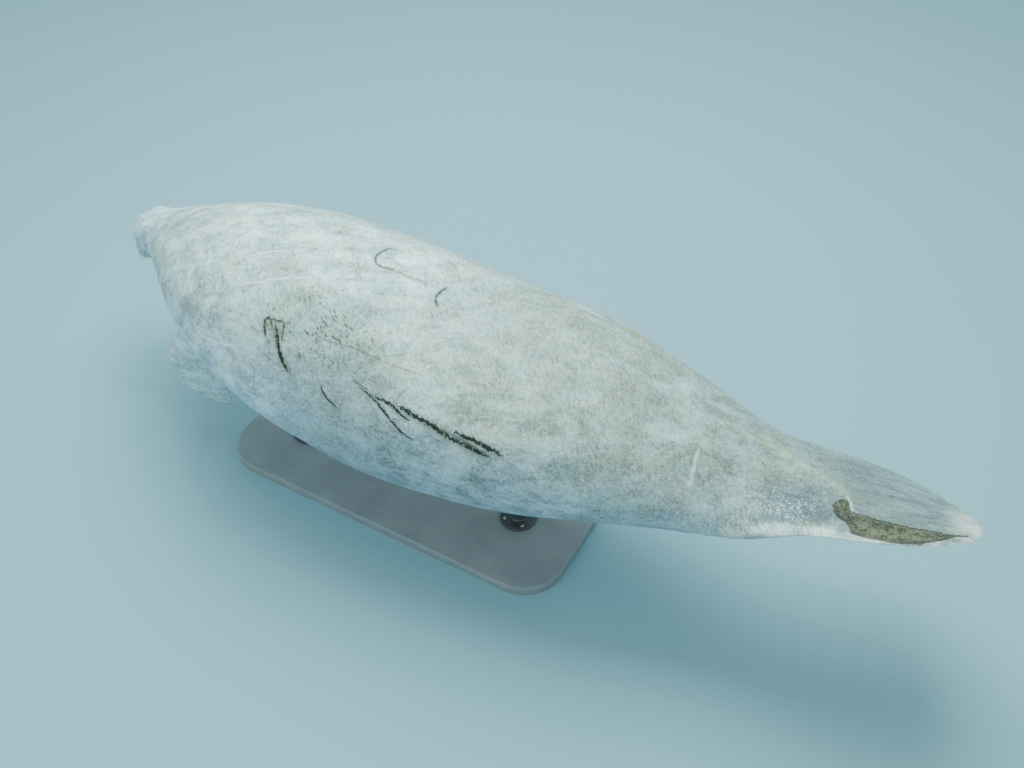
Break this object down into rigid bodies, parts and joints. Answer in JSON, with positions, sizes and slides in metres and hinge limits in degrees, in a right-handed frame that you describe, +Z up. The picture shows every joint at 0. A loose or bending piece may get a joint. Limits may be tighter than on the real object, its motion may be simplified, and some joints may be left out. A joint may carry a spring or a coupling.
{
  "type": "manatee display model",
  "caption": "Life-size still model of a Florida manatee resting in the water, head turned aside and tail paddle tilted, held by a flat base with short rods.",
  "frame": {"origin": "middle of the stand base's underside, on the floor under the animal's balance point", "axes": "+X along the body towards the tail, with the head at -X; +Y to the animal's right, with its left side at -Y; +Z up"},
  "size_m": [3.0163, 0.7836, 0.9535],
  "materials": {
    "skin": "thick pale grey skin with a beige cast, finely wrinkled and mottled, matt with a damp sheen",
    "skin_face": "softer wrinkled skin of the lips and chin, with short stiff bristles",
    "eye": "wet, very dark brown eye",
    "nail": "pale horn, slightly polished by wear",
    "stand_base": "matt mid-grey paint",
    "stand_metal": "satin dark grey paint"
  },
  "bodies": {
    "root": {"muzzle": "skin_face", "lower_jaw": "skin_face", "head": "skin", "eye_left": "eye", "eye_right": "eye", "neck": "skin", "torso": "skin", "tail_stock": "skin", "tail_paddle": "skin", "flipper_left": "skin", "flipper_right": "skin", "nail_left_1": "nail", "nail_left_2": "nail", "nail_left_3": "nail", "nail_right_1": "nail", "nail_right_2": "nail", "nail_right_3": "nail", "stand_base": "stand_base", "stand_rod_front": "stand_metal", "stand_rod_rear": "stand_metal"}
  },
  "joints": []
}
